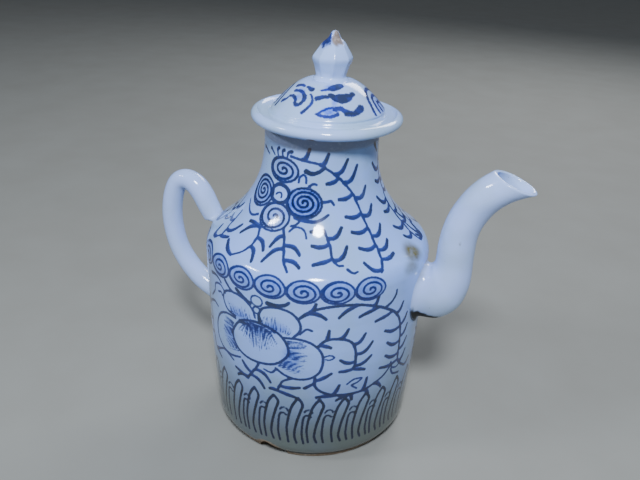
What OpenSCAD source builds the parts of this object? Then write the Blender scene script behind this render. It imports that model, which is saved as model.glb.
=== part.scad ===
// Small lidded wine ewer in blue-and-white porcelain.
// A thrown cylinder carries a sloping shoulder and a narrow neck. A moulded swan-neck spout
// and a rolled ear handle are luted to it with slip, and the domed lid lifts straight off.
// Millimetres, Z up, spout along +X. The origin is the middle of the foot, on the table.

/* [Wall, foot and floor] */
// Radius of the wall just above its rounded heel
wall_low_r = 40.2; // [36:0.2:50]
// Radius of the wall where the shoulder begins
wall_top_r = 43.5; // [36:0.1:54]
// How far the wall swells between its two ends
wall_belly = 0.5; // [0:0.1:2]
// Height of the top of the wall
wall_top_z = 78; // [64:1:96]
// Thickness of the wall, the shoulder and the neck
wall_t = 3; // [2:0.1:4]
// Thickness of the floor
floor_t = 3.6; // [2.5:0.1:5]
// Height of the foot ring, from the table to the floor
foot_h = 3; // [2:0.1:5]
// How far the foot ring is set in from the wall
foot_inset = 3.6; // [2:0.1:6]
// Width of the face that the pot stands on
foot_t = 5.6; // [3:0.1:8]
// Height of the rounded heel above the foot ring
heel_h = 5.4; // [3:0.1:9]
// Radius of the flake broken from the foot ring
chip_r = 5; // [3:0.1:6]

/* [Shoulder and neck] */
// Radius of the rounded edge between wall and shoulder
corner_r = 8.5; // [6:0.1:11]
// Height of the shoulder's concave sweep up to the neck
sweep_h = 38; // [30:0.5:48]
// Outer radius of the neck
neck_r = 21; // [18:0.1:26]
// Height of the straight neck and its unglazed rim
neck_h = 4.2; // [3:0.1:10]

/* [Spout] */
// Distance from the top of the wall down to the middle of the spout's root
spout_drop = 11.3; // [11:0.1:16]
// Thickness of the spout's wall
spout_t = 2.2; // [1.6:0.1:3]
// Radius of each strainer hole behind the spout
strainer_r = 1.6; // [1:0.1:2.2]
// Distance between neighbouring strainer holes
strainer_pitch = 5; // [4.6:0.1:5.6]

/* [Handle] */
// Height of the handle's upper root above the top of the wall
handle_up = 0.2; // [0:0.1:4]
// Distance between the handle's two roots
handle_span = 34.6; // [28:0.2:44]
// How far the middle of the handle stands out from the wall
handle_reach = 22.8; // [18:0.2:30]
// Radius of the rolled handle
handle_r = 4.2; // [3.4:0.1:5.2]

/* [Slip joints] */
// Thickness of the slip under a root
lute_t = 2; // [1.2:0.1:3]
// How far the slip spreads past a root
lute_spread = 1.7; // [0.8:0.1:2.6]

/* [Lid] */
// How far the lid's brim reaches past the outside of the neck
brim_over = 6.5; // [5:0.1:10]
// Thickness of the brim's rolled edge
brim_t = 3.9; // [3:0.1:5.5]
// Width of the dished part of the brim, round the foot of the dome
brim_dish_w = 7.2; // [5:0.1:9]
// Height of the dome above the brim
dome_h = 10.2; // [8:0.1:14]
// Thickness of the dome
dome_t = 3.2; // [2.4:0.1:3.6]
// Height of the gap that the lid's weight rests across
lid_gap = 0.2; // [0.1:0.05:0.5]
// Gap between the lid's flange and the inside of the neck
flange_gap = 1.8; // [1.8:0.1:3]
// How far the loose lid sits off the neck's axis, towards the spout
lid_shift = 1.5; // [0:0.1:1.5]
// Depth of the flange below the brim
flange_h = 7; // [4:0.1:10]
// Thickness of the flange
flange_t = 2.6; // [2:0.1:3.4]

/* [Knob] */
// Radius of the knob's waist
waist_r = 5.9; // [4.5:0.1:6.4]
// Largest radius of the knob
knob_r = 7.1; // [6.8:0.1:10]
// Height of the knob above the dome
knob_h = 16.8; // [14:0.1:22]

/* [Hidden] */
$fn = 96;

glaze_white = "#d3dcec";
glaze_shade = "#c3cfdc";
bare_clay = "#b08a63";

// Places that follow from the driving sizes
foot_r = wall_low_r - foot_inset;
heel_z = foot_h + heel_h;
floor_z = foot_h + floor_t;
spout_z = wall_top_z - spout_drop;
handle_top_z = wall_top_z + handle_up;
handle_low_z = handle_top_z - handle_span;
corner_turn = 54;
shoulder_r = wall_top_r - corner_r * (1 - cos(corner_turn));
shoulder_z = wall_top_z + corner_r * sin(corner_turn);
neck_z = shoulder_z + sweep_h;
rim_z = neck_z + neck_h;
neck_in_r = neck_r - wall_t;
sweep_power = 2.7;
dome_power = 0.62;
brim_dip = 0.9;
edge_cut = 0.8;
floor_fillet = 4;
lip_t = 1.4;
waist_flare = 1.2;
bud_z = 0.41 * knob_h;
tip_r = 1.8;
brim_z = rim_z + lid_gap;
dome_z = brim_z + brim_t + 1;
knob_z = dome_z + dome_h;
brim_r = neck_r + brim_over;
dome_r = brim_r - brim_dish_w;
flange_r = neck_in_r - flange_gap;
flange_in_r = flange_r - flange_t;

// Steps along curves and round sections
arc_steps = 6;
sweep_steps = 12;
tube_sides = 28;
fine = 3;
slip_film = 0.1;
strainer_ring = 6;

// ---- Outlines of the turned pieces, as [radius, height] ----

function quarter(r0, z0, r1, z1) = [for (i = [0:arc_steps]) let (a = 90 * i / arc_steps)
    [r0 + (r1 - r0) * sin(a), z1 + (z0 - z1) * cos(a)]];

function corner_arc(r) = [for (i = [0:arc_steps]) let (a = corner_turn * i / arc_steps)
    [wall_top_r - corner_r + r * cos(a), wall_top_z + r * sin(a)]];

function sweep(from, top_r) = [for (i = [1:sweep_steps]) let (t = i / sweep_steps)
    [top_r + (from.x - top_r) * pow(1 - t, sweep_power), from.y + t * (neck_z - from.y)]];

function mean(points) = [for (p = points) 1] * points / len(points);
function last(list) = list[len(list) - 1];
function backwards(list) = [for (i = [len(list) - 1:-1:0]) list[i]];

// Outer radius of the wall, from its heel at 0 to its top at 1
function wall_r(s) = wall_low_r + (wall_top_r - wall_low_r) * s + 4 * wall_belly * s * (1 - s);
function wall_line(inset) = [for (i = [0:arc_steps]) let (s = i / arc_steps)
    [wall_r(s) - inset, heel_z + s * (wall_top_z - heel_z)]];

// Outer radius of the wall, rounded edge or shoulder at height z
function pot_r(z) =
    z <= wall_top_z ? wall_r((z - heel_z) / (wall_top_z - heel_z)) :
    z <= shoulder_z ? wall_top_r - corner_r + sqrt(corner_r * corner_r - pow(z - wall_top_z, 2)) :
    neck_r + (shoulder_r - neck_r) * pow(1 - (z - shoulder_z) / sweep_h, sweep_power);

// ---- Swept tubes: rings of points, joined by quads ----

// A smooth curve through rows of numbers, with `fine` steps between neighbours
function blend(p, q, r, s, t) = 0.5 * (2 * q + (r - p) * t + (2 * p - 5 * q + 4 * r - s) * t * t
    + (3 * q - p - 3 * r + s) * t * t * t);
function smooth(rows) = let (n = len(rows) - 1) concat(
    [for (i = [0:n - 1], k = [0:fine - 1])
        blend(rows[max(i - 1, 0)], rows[i], rows[i + 1], rows[min(i + 2, n)], k / fine)],
    [rows[n]]);

// A ring from its two ends in the XZ plane, each [x, z], and its half width in Y
function ring(p, q, half_w) = [for (i = [0:tube_sides - 1]) let (a = 360 * i / tube_sides)
    [(p.x + q.x) / 2 + (p.x - q.x) / 2 * cos(a), half_w * sin(a),
     (p.y + q.y) / 2 + (p.y - q.y) / 2 * cos(a)]];

// The same points, slid along X on to the outside of the pot: side 1 for the spout, -1 for
// the handle. A film of slip stays between.
function seated(points, side) = [for (p = points)
    [side * (sqrt(pow(pot_r(p.z), 2) - p.y * p.y) + slip_film), p.y, p.z]];

// A solid bar through the rings. Fans around the points first and final close its ends.
module bar(rings, first, final) {
    m = len(rings);
    n = tube_sides;
    polyhedron(concat([for (r = rings) each r], [first, final]), concat(
        [for (i = [0:m - 2], j = [0:n - 1]) let (a = i * n + j, b = i * n + (j + 1) % n)
            each [[a, b + n, a + n], [a, b, b + n]]],
        [for (j = [0:n - 1]) [m * n, (j + 1) % n, j]],
        [for (j = [0:n - 1]) [m * n + 1, (m - 1) * n + j, (m - 1) * n + (j + 1) % n]]));
}

// A hollow solid whose skin runs through the rings in turn and back to the first
module pipe(rings) {
    m = len(rings);
    n = tube_sides;
    polyhedron([for (r = rings) each r], [for (i = [0:m - 1], j = [0:n - 1])
        let (k = (i + 1) % m, l = (j + 1) % n)
            each [[i * n + j, k * n + l, k * n + j], [i * n + j, i * n + l, k * n + l]]]);
}

// The same points, moved by [x, z]
function slid(points, d) = [for (p = points) [p.x + d.x, p.y, p.z + d.y]];

// ---- Spout: where its inner and outer edges run in the XZ plane ----

// Each row: inner edge out and up, outer edge out and up, half width, wall. The distances
// are from the middle of the root. The last row is the slanted mouth.
spout_rows = [
    [lute_t, 11, lute_t, -10.8, 9, spout_t],
    [2.9, 11.6, 7.4, -10.3, 8.9, spout_t],
    [3.7, 12.8, 12.2, -7.4, 8.3, spout_t],
    [4.1, 14.3, 15.9, -2.1, 7.6, spout_t],
    [4.2, 17, 17.8, 6, 7, spout_t],
    [4.4, 21.8, 17.8, 16.7, 6.7, spout_t],
    [5.2, 27.6, 18, 23.8, 6.7, spout_t],
    [6.6, 33, 18.9, 28.5, 6.7, spout_t],
    [8.8, 38, 20.9, 33.1, 6.7, spout_t],
    [11.9, 43.2, 24.3, 38.1, 6.7, spout_t],
    [15.7, 47.7, 29.2, 42.2, 6.6, spout_t],
    [20.1, 51.5, 35.8, 45.5, 6.3, lip_t]];

function towards(p, q, d) = p + (q - p) * d / norm(q - p);
function spout_ring(row, cut, grow = 0) = let (o = [pot_r(spout_z), spout_z],
    p = o + [row[0], row[1]], q = o + [row[2], row[3]], d = cut * row[5] - grow)
    ring(towards(p, q, d), towards(q, p, d), row[4] - d);

spout_line = smooth(spout_rows);
spout_outer = [for (row = spout_line) spout_ring(row, 0)];
spout_inner = [for (row = spout_line) spout_ring(row, 1)];

// A ring of the slip under the spout's root, where it meets the pot
function lute_ring(cut, grow = 0) =
    seated(slid(spout_ring(spout_rows[0], cut, grow), [-lute_t, 0]), 1);

// ---- Handle: its middle line in the XZ plane ----

// Each row: how far out, as a share of the reach, and how far up, as a share of the span
handle_rows = [[0.13, 1.06], [0.23, 1.18], [0.36, 1.33], [0.51, 1.43], [0.68, 1.46],
    [0.84, 1.4], [0.95, 1.23], [1, 0.99], [0.97, 0.75], [0.87, 0.53], [0.68, 0.33],
    [0.42, 0.16], [0.1, 0.035]];

handle_line = smooth([for (h = handle_rows)
    [-wall_top_r - h[0] * handle_reach, handle_low_z + h[1] * handle_span]]);

// A round ring of radius r at step i of the handle's middle line
function handle_ring(i, r) = let (n = len(handle_line) - 1,
    d = handle_line[min(i + 1, n)] - handle_line[max(i - 1, 0)],
    across = [d.y, -d.x] * r / norm(d), c = handle_line[i])
    ring(c + across, c - across, r);

handle_rings = [for (i = [0:len(handle_line) - 1]) handle_ring(i, handle_r)];

// The wider ring where slip from step i of that line meets the pot
function root_ring(i) = seated(handle_ring(i, handle_r + lute_spread), -1);

// ---- The pieces ----

// The flake lost from the foot, on the side away from +Y
module flake() translate([0, -foot_r - 1, -0.4]) sphere(chip_r);

// Turned ring that the pot stands on, left unglazed
module foot_ring() color(bare_clay) difference() {
    rotate_extrude() polygon([[foot_r - foot_t, 0], [foot_r - edge_cut, 0], [foot_r, edge_cut],
        [foot_r, foot_h], [foot_r - foot_t, foot_h]]);
    flake();
}

// Thrown cylinder with its floor, pierced behind the spout
module pot_wall() color(glaze_white) difference() {
    in_r = wall_low_r - wall_t;
    rotate_extrude() polygon(concat([[0, foot_h]],
        quarter(foot_r, foot_h, wall_low_r, heel_z), wall_line(0), backwards(wall_line(wall_t)),
        backwards(quarter(in_r - floor_fillet, floor_z, in_r, floor_z + floor_fillet)),
        [[0, floor_z]]));
    // One hole in the middle and a ring of others round it
    for (i = [0:strainer_ring]) let (a = 360 * i / strainer_ring, d = i == 0 ? 0 : strainer_pitch)
        translate([pot_r(spout_z) - 2 * wall_t, d * sin(a), spout_z + d * cos(a)])
            rotate([0, 90, 0]) cylinder(r = strainer_r, h = 4 * wall_t);
    flake();
}

// Shoulder and neck, thrown apart and set on the wall
module shoulder_neck() color(glaze_white) rotate_extrude() let (
    outer = corner_arc(corner_r), inner = corner_arc(corner_r - wall_t))
    polygon(concat(outer, sweep(last(outer), neck_r), [[neck_r, rim_z], [neck_in_r, rim_z]],
        backwards(concat(inner, sweep(last(inner), neck_in_r)))));

// Moulded swan-neck spout, open from its root to its slanted mouth
module spout() color(glaze_white) pipe(concat(spout_outer, backwards(spout_inner)));

// Slip between the pot and the root of the spout
module spout_lute() color(glaze_shade)
    pipe([lute_ring(0, lute_spread), spout_outer[0], spout_inner[0], lute_ring(1), lute_ring(0)]);

// Rolled ear handle
module handle() color(glaze_white)
    bar(handle_rings, mean(handle_rings[0]), mean(last(handle_rings)));

// Slip between the pot and the handle's upper end, and its lower end
module handle_upper_lute() color(glaze_shade) let (end = handle_rings[0], base = root_ring(0))
    bar([base, end], seated([mean(base)], -1)[0], mean(end));

module handle_lower_lute() color(glaze_shade)
    let (end = last(handle_rings), base = root_ring(len(handle_line) - 1))
    bar([end, base], mean(end), seated([mean(base)], -1)[0]);

function dome(from, to) = [for (i = [0:arc_steps]) let (t = i / arc_steps)
    [to.x + (from.x - to.x) * pow(1 - t, dome_power), from.y + (to.y - from.y) * t]];

// Thrown lid: a dished brim with a rolled edge, and a dome that is hollow below
module lid_cover() color(glaze_white) translate([lid_shift, 0, 0]) rotate_extrude()
    let (h = brim_t / 2, dip_z = brim_z + brim_t - brim_dip)
    polygon(concat([[flange_in_r, brim_z]],
        [for (i = [0:2 * arc_steps]) let (a = 90 * i / arc_steps - 90)
            [brim_r - h + h * cos(a), brim_z + h + h * sin(a)]],
        [[(brim_r - h + dome_r) / 2, dip_z], [dome_r + brim_dip, dip_z]],
        dome([dome_r, dome_z], [waist_r + waist_flare, knob_z]),
        [[0, knob_z], [0, knob_z - dome_t]],
        backwards(dome([flange_in_r, dome_z - 0.6 * dome_t], [dome_t, knob_z - dome_t]))));

// Ring under the brim that keeps the lid in the neck
module lid_flange() color(glaze_shade) translate([lid_shift, 0, brim_z - flange_h]) difference() {
    cylinder(r = flange_r, h = flange_h);
    translate([0, 0, -1]) cylinder(r = flange_in_r, h = flange_h + 2);
}

// Pointed bud of a knob on a narrow waist
module lid_knob() color(glaze_white) translate([lid_shift, 0, knob_z]) rotate_extrude()
    polygon([[0, 0], [waist_r + waist_flare, 0], [waist_r + 0.2, 1], [waist_r, 2],
        [waist_r + 0.5, 4], [knob_r, bud_z], [knob_r - 0.3, bud_z + 0.8],
        [tip_r, knob_h - 1], [tip_r / 2, knob_h - 0.2], [0, knob_h]]);

foot_ring();
pot_wall();
shoulder_neck();
spout();
spout_lute();
handle();
handle_upper_lute();
handle_lower_lute();
lid_cover();
lid_flange();
lid_knob();
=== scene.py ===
from math import copysign, cos, pi, radians, sin, tau

import bmesh
import bpy
import numpy as np
from mathutils import Matrix, Quaternion, Vector


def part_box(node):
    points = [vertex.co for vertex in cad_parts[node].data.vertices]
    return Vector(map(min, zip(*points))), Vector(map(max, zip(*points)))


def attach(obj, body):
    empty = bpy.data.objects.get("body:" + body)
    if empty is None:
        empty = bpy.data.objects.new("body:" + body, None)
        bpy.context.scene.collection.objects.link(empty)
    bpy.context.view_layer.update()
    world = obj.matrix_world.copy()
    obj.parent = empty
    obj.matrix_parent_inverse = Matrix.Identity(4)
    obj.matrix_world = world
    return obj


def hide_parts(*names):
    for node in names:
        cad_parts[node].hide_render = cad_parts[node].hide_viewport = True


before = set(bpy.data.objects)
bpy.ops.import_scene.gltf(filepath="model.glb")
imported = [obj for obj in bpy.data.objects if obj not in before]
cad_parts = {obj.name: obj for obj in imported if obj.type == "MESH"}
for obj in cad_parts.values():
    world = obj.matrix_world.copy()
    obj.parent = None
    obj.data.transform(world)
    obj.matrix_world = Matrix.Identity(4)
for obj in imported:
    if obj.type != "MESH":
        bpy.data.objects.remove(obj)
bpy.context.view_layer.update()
mm = 0.001

# where the viewer stands, in mm and degrees: round the pot from the front, away from its axis
# and above the table, looking down, with a slight tilt of the camera
viewer = {"round": 20, "away": 245, "above": 197.2, "down": 25.86, "turn": 0.21, "tilt": 2.5, "lens": 38.63}


def makeCamera(place):
    around, down, turn = (radians(place[k]) for k in ("round", "down", "turn"))
    data = bpy.data.cameras.new("camera")
    data.lens = place["lens"]
    data.clip_start = 0.01
    camera = bpy.data.objects.new("camera", data)
    bpy.context.scene.collection.objects.link(camera)
    bpy.context.scene.camera = camera
    away = place["away"] * mm
    camera.location = (away * sin(around), -away * cos(around), place["above"] * mm)
    level = cos(down)
    look = Vector((sin(turn) * level, cos(turn) * level, -sin(down)))
    look.rotate(Matrix.Rotation(around, 3, "Z"))
    tilt = Quaternion((0, 0, 1), radians(place["tilt"]))
    camera.rotation_mode = "QUATERNION"
    camera.rotation_quaternion = look.to_track_quat("-Z", "Y") @ tilt


makeCamera(viewer)
print("camera placed")

# ---- colours and nodes ----


def sRgb(code):
    # a hex colour as linear red, green, blue and 1
    parts = [int(code[i:i + 2], 16) / 255 for i in (1, 3, 5)]
    return [c / 12.92 if c <= 0.04045 else ((c + 0.055) / 1.055) ** 2.4 for c in parts] + [1]


def newMaterial(name):
    material = bpy.data.materials.new(name)
    material.use_nodes = True
    material.node_tree.nodes.clear()
    return material


def addNode(tree, kind, settings=None, inputs=None):
    # settings are the node's own choices; inputs are values, or the outputs that feed them
    node = tree.nodes.new("ShaderNode" + kind)
    for name, value in (settings or {}).items():
        setattr(node, name, value)
    for key, value in (inputs or {}).items():
        socket = node.inputs[key]
        if isinstance(value, bpy.types.NodeSocket):
            tree.links.new(value, socket)
        else:
            socket.default_value = value
    return node


def perMm(size):
    # noise scale whose features are this many mm across
    return 1 / (size * mm)


def rampBetween(tree, factor, stops):
    node = addNode(tree, "ValToRGB", None, {"Fac": factor})
    node.color_ramp.elements[0].color = sRgb(stops[0][1])
    node.color_ramp.elements[1].position = stops[-1][0]
    node.color_ramp.elements[1].color = sRgb(stops[-1][1])
    for place, code in stops[1:-1]:
        node.color_ramp.elements.new(place).color = sRgb(code)
    return node.outputs["Color"]


def mixColours(tree, factor, under, over):
    node = addNode(tree, "Mix", {"data_type": "RGBA", "clamp_factor": True}, {0: factor})
    for socket, value in ((node.inputs[6], under), (node.inputs[7], over)):
        if isinstance(value, str):
            socket.default_value = sRgb(value)
        else:
            tree.links.new(value, socket)
    return node.outputs[2]


def stretch(tree, value, low, high, bottom=0.0, top=1.0):
    # value from low..high to bottom..top, eased
    node = addNode(tree, "MapRange", {"interpolation_type": "SMOOTHSTEP"},
                   {"Value": value, "From Min": low, "From Max": high, "To Min": bottom, "To Max": top})
    return node.outputs["Result"]


def sums(tree, operation, first, second):
    return addNode(tree, "Math", {"operation": operation}, {0: first, 1: second}).outputs[0]


def bumped(tree, strength, depth, height, under=None):
    # a normal that rises and falls by depth mm, on top of the normal under it
    inputs = {"Strength": strength, "Distance": depth * mm, "Height": height}
    if under is not None:
        inputs["Normal"] = under
    return addNode(tree, "Bump", None, inputs).outputs["Normal"]


def addSkin(tree, **inputs):
    names = {"colour": "Base Color", "rough": "Roughness", "ior": "IOR", "normal": "Normal"}
    skin = addNode(tree, "BsdfPrincipled", None, {names[key]: value for key, value in inputs.items()})
    addNode(tree, "OutputMaterial", None, {"Surface": skin.outputs[0]})


# Provincial porcelain under a clear glaze: thrown, painted in cobalt, dipped and fired once.
# The eye sees a cool blue-white with greener pools, hard small highlights on a faintly dimpled
# skin, lines that bleed a little at their edges and pool dark at their ends, and iron specks.
glazeLook = {
    # low and the green-black ink colour darken the glaze and the lines towards the foot: partly the thicker,
    # greyer glaze there, partly painted shade
    "white": "#8fb1f4", "thick": "#8faec6", "low": "#4f5238", "wash": "#345cc4",
    "inkPale": "#2a429e", "inkMiddle": "#0d1a62", "inkDark": "#030624", "inkGreenAndShade": "#050a0b",
    "stain": "#625c2a", "bare": "#7d6a54", "speck": "#4a3c32", "shadowAndSpeckBlack": "#030407",
    "clayDark": "#5b4c3d", "clayPale": "#a89c8b",
    "bleed": 0.16, "ragged": 0.4, "dimple": 2.6, "roughness": 0.09,
}


def glazedPorcelain(name, look, lowGreyingAndShade=0.0):
    material = newMaterial(name)
    tree = material.node_tree
    place = addNode(tree, "TexCoord").outputs["Object"]
    height = addNode(tree, "SeparateXYZ", None, {0: place}).outputs["Z"]

    def noise(size, detail=2.0, rough=0.5):
        node = addNode(tree, "TexNoise", None,
                       {"Vector": place, "Scale": perMm(size), "Detail": detail, "Roughness": rough})
        return node.outputs["Fac"]

    def painted(layer):
        return addNode(tree, "Attribute", {"attribute_name": layer}).outputs["Fac"]

    def times(first, second):
        return sums(tree, "MULTIPLY", first, second)

    def plus(first, second):
        return sums(tree, "ADD", first, second)

    cloud = noise(22, 3)
    pooled = stretch(tree, cloud, 0.38, 0.68, 0.0, 0.55)
    glaze = mixColours(tree, pooled, look["white"], look["thick"])
    # partly painted shade: the glaze greys and darkens towards the foot
    if lowGreyingAndShade:
        glaze = mixColours(tree, stretch(tree, height, 0.058, 0.010, 0.0, lowGreyingAndShade), glaze, look["low"])

    brush = noise(2.4, 3, 0.6)
    wash = times(painted("wash"), stretch(tree, brush, 0.25, 0.75, 0.45, 1.0))
    glaze = mixColours(tree, wash, glaze, look["wash"])

    edge = times(sums(tree, "SUBTRACT", noise(0.7, 2), 0.5), look["ragged"])
    covered = stretch(tree, plus(painted("ink"), edge), -look["bleed"], look["bleed"])
    depth = times(painted("tone"), stretch(tree, brush, 0.2, 0.8, 0.7, 1.25))
    inks = [(0.0, look["inkPale"]), (0.5, look["inkMiddle"]), (1.0, look["inkDark"])]
    ink = rampBetween(tree, depth, inks)
    # partly painted shade: the lines darken and turn green-black towards the foot
    if lowGreyingAndShade:
        ink = mixColours(tree, stretch(tree, height, 0.042, 0.024, 0.0, 0.75), ink, look["inkGreenAndShade"])
    colour = mixColours(tree, times(covered, 0.93), glaze, ink)

    specks = times(stretch(tree, noise(0.55, 1), 0.735, 0.775), stretch(tree, cloud, 0.5, 0.62))
    colour = mixColours(tree, times(specks, 0.6), colour, look["speck"])
    stained = times(painted("stain"), stretch(tree, noise(3, 3), 0.3, 0.65, 0.7, 1.0))
    colour = mixColours(tree, stained, colour, look["stain"])
    # near black: a painted shadow in the gap under the spout's root, and dark specks in the knob's chip
    dark = painted("paintedShadowAndSpecks")
    colour = mixColours(tree, dark, colour, look["shadowAndSpeckBlack"])

    clay = painted("bare")
    burnt = [(0.3, look["clayDark"]), (0.55, look["bare"]), (0.75, look["clayPale"])]
    colour = mixColours(tree, clay, colour, rampBetween(tree, noise(1.1, 4, 0.65), burnt))
    smooth = stretch(tree, noise(9, 2), 0.3, 0.7, look["roughness"] * 0.8, look["roughness"] * 1.5)
    rough = plus(plus(times(clay, 0.62), smooth), times(dark, 0.5))

    dimples = bumped(tree, 0.35, 0.06, noise(look["dimple"], 2))
    grain = bumped(tree, 0.8, 0.25, times(noise(0.45, 3), clay), dimples)
    addSkin(tree, colour=colour, rough=rough, ior=1.52, normal=grain)
    return material


# Bare porcelain clay under the lid: turned with a wooden tool, wiped, and burnt orange-buff in
# the kiln where no glaze covers it. The eye sees a dry matt wall with fine turning lines.
def bareClay(name, pale, warm, burnt):
    material = newMaterial(name)
    tree = material.node_tree
    place = addNode(tree, "TexCoord").outputs["Object"]
    cloud = addNode(tree, "TexNoise", None, {"Vector": place, "Scale": perMm(7), "Detail": 5.0})
    colour = rampBetween(tree, cloud.outputs["Fac"], [(0.3, burnt), (0.5, warm), (0.68, pale)])
    grit = addNode(tree, "TexNoise", None, {"Vector": place, "Scale": perMm(0.5), "Detail": 2.0})
    colour = mixColours(tree, stretch(tree, grit.outputs["Fac"], 0.66, 0.74, 0.0, 0.6), colour, "#4c3a2c")
    lines = addNode(tree, "TexWave", {"wave_type": "RINGS", "rings_direction": "Z"},
                    {"Vector": place, "Scale": perMm(1.6) / 20, "Distortion": 1.5, "Detail": 2.0})
    turned = bumped(tree, 0.4, 0.08, lines.outputs["Fac"])
    grain = bumped(tree, 0.6, 0.12, grit.outputs["Fac"], turned)
    addSkin(tree, colour=colour, rough=0.82, ior=1.5, normal=grain)
    return material


# 0.9 darkens the pot towards its foot: partly greyer glaze, partly painted shade
potGlaze = glazedPorcelain("paintedGlazeOfThePot", glazeLook, 0.9)
lidGlaze = glazedPorcelain("paintedGlazeOfTheLid", {
    **glazeLook, "white": "#a2bef2", "thick": "#9ab8c2", "wash": "#2f58d8",
    "inkPale": "#1a42c8", "inkMiddle": "#081f90", "inkDark": "#020738", "bleed": 0.24, "ragged": 1.0})
plainGlaze = glazedPorcelain("plainGlazeOfSpoutAndHandle", {
    **glazeLook, "white": "#a8c0f4", "thick": "#a0b8c8"})
flangeClay = bareClay("turnedBareFlange", "#d8cfc0", "#c7b59b", "#a98f70")
print("materials made")

# ---- sizes, in mm, read off the frame ----


def mmBox(node):
    low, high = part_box(node)
    return low / mm, high / mm


ringHigh = mmBox("foot_ring")[1]
wallLow, wallHigh = mmBox("pot_wall")
neckHigh = mmBox("shoulder_neck")[1]
brimLow, brimHigh = mmBox("lid_cover")
flangeLow, flangeHigh = mmBox("lid_flange")
knobLow, knobHigh = mmBox("lid_knob")

pot = {
    "footR": ringHigh.x, "footZ": wallLow.z, "heelR": 40.2, "heelRise": 5.4, "topR": wallHigh.x,
    "topZ": wallHigh.z, "belly": 0.5, "wall": 3.0, "floor": 3.6, "floorFillet": 4.0,
    "cornerR": 8.5, "cornerTurn": 54, "sweepUp": 38, "sweepPower": 2.7, "neckR": 21.0,
    "rimZ": neckHigh.z, "columns": 600,
}
pot["heelZ"] = pot["footZ"] + pot["heelRise"]
pot["shoulderR"] = pot["topR"] - pot["cornerR"] * (1 - cos(radians(pot["cornerTurn"])))
pot["shoulderZ"] = pot["topZ"] + pot["cornerR"] * sin(radians(pot["cornerTurn"]))
pot["neckZ"] = pot["shoulderZ"] + pot["sweepUp"]


def potRadius(z, inset=0.0):
    # radius of the pot's skin at height z; inset moves it into the wall
    p = pot
    z = np.asarray(z, float)
    drop = np.clip((p["heelZ"] - z) / p["heelRise"], 0, 1)
    heel = p["footR"] + (p["heelR"] - p["footR"]) * np.sqrt(1 - drop ** 2)
    s = (z - p["heelZ"]) / (p["topZ"] - p["heelZ"])
    wall = p["heelR"] + (p["topR"] - p["heelR"]) * s + 4 * p["belly"] * s * (1 - s) - inset
    bend = p["cornerR"] - inset
    corner = p["topR"] - p["cornerR"] + np.sqrt(np.clip(bend ** 2 - (z - p["topZ"]) ** 2, 0, None))
    t = np.clip((z - p["shoulderZ"]) / p["sweepUp"], 0, 1)
    sweep = p["neckR"] + (p["shoulderR"] - p["neckR"]) * (1 - t) ** p["sweepPower"] - inset
    return np.select([z < p["heelZ"], z <= p["topZ"], z <= p["shoulderZ"]], [heel, wall, corner], sweep)


def steps(start, stop, gap):
    return list(np.linspace(start, stop, max(2, round(abs(stop - start) / gap) + 1)))


def arc(r, z, wide, tall, start, stop, count):
    # part of an ellipse round (r, z), from one angle to another; angle 0 points outward
    return [(r + wide * cos(t), z + tall * sin(t)) for t in np.linspace(start, stop, count)]


def unevenness(az, z):
    # how far a thrower's hand leaves the wall off its true round, in mm
    return (0.16 * np.sin(2 * az + 0.6) + 0.08 * np.sin(3 * az + z / 11) + 0.05 * np.sin(5 * az - z / 7)
            + 0.02 * np.sin(z * tau / 7.3 + np.sin(az)) + 0.008 * np.sin(z * tau / 4.1))


# ---- making pieces ----


def spun(outline, columns):
    # an outline of (radius, height) in mm, spun right round into a closed skin
    bm = bmesh.new()
    points = [bm.verts.new((r * mm, 0, z * mm)) for r, z in outline]
    edges = [bm.edges.new(pair) for pair in zip(points, points[1:])]
    if outline[0][0] > 0:
        edges.append(bm.edges.new((points[-1], points[0])))
    bmesh.ops.spin(bm, geom=points + edges, cent=(0, 0, 0), axis=(0, 0, 1), dvec=(0, 0, 0),
                   angle=tau, steps=columns, use_merge=True, use_duplicate=False)
    bmesh.ops.remove_doubles(bm, verts=bm.verts, dist=0.002 * mm)
    bmesh.ops.recalc_face_normals(bm, faces=bm.faces)
    return bm


def lofted(rings):
    # a grid wrapped round rings of points in mm; equal ends and single points close up
    around = len(rings[0])
    bm = bmesh.new()
    bmesh.ops.create_grid(bm, x_segments=around, y_segments=len(rings) - 1, size=1)
    bm.verts.ensure_lookup_table()
    for row, ring in enumerate(rings):
        for column in range(around + 1):
            bm.verts[row * (around + 1) + column].co = Vector(ring[column % around]) * mm
    bmesh.ops.remove_doubles(bm, verts=bm.verts, dist=0.002 * mm)
    bmesh.ops.recalc_face_normals(bm, faces=bm.faces)
    return bm


def looseObject(name, bm):
    mesh = bpy.data.meshes.new(name)
    bm.to_mesh(mesh)
    bm.free()
    thing = bpy.data.objects.new(name, mesh)
    bpy.context.scene.collection.objects.link(thing)
    return thing


def addPiece(name, bm, body, nodes, material, sharp=38):
    piece = looseObject(name, bm)
    mesh = piece.data
    mesh.shade_smooth()
    mesh.set_sharp_from_angle(angle=radians(sharp))
    mesh.materials.append(material)
    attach(piece, body)
    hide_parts(*nodes)
    print(name, "built,", len(mesh.polygons), "faces")
    return piece


def cut(piece, cutters, sharp=38):
    # takes each cutter out of the piece for good
    material = piece.data.materials[0]
    for cutter in cutters:
        modifier = piece.modifiers.new("cut", "BOOLEAN")
        modifier.operation = "DIFFERENCE"
        modifier.solver = "MANIFOLD"
        modifier.object = cutter
        baked = bpy.data.meshes.new_from_object(piece.evaluated_get(bpy.context.evaluated_depsgraph_get()))
        piece.modifiers.remove(modifier)
        piece.data = baked
    piece.data.materials.clear()
    piece.data.materials.append(material)
    piece.data.shade_smooth()
    piece.data.set_sharp_from_angle(angle=radians(sharp))
    for cutter in cutters:
        bpy.data.objects.remove(cutter)


def pointsOf(piece):
    co = np.empty(len(piece.data.vertices) * 3)
    piece.data.vertices.foreach_get("co", co)
    return co.reshape(-1, 3) / mm


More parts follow.
